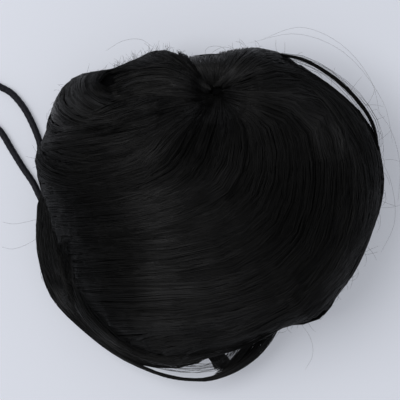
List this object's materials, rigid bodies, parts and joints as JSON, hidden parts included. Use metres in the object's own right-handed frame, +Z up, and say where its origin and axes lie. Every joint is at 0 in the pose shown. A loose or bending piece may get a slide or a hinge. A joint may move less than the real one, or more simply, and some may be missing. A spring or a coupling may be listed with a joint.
{
  "type": "top knot hairpiece",
  "caption": "Round false hair bun of swept locks on a net cap, with a drawstring casing round its mouth and a free cord loop.",
  "frame": {"origin": "on the surface it lies on, under the middle of the bun without the drawstring's free loop", "axes": "+Z up, away from the mouth of the cap; +Y towards the knot; the free loop leaves towards -X"},
  "size_m": [0.1542, 0.1205, 0.0558],
  "materials": {
    "hair": "glossy black synthetic hair in combed strands",
    "net": "matt black knitted net",
    "casing": "matt black woven ribbon, sewn",
    "cord": "matt black braided elastic cord"
  },
  "bodies": {
    "root": {"hair_mass": "hair", "side_arc_lock": "hair", "rim_lock": "hair", "cap_net": "net", "rim_casing": "casing", "drawstring_core": "cord", "drawstring_loop": "cord"}
  },
  "joints": []
}
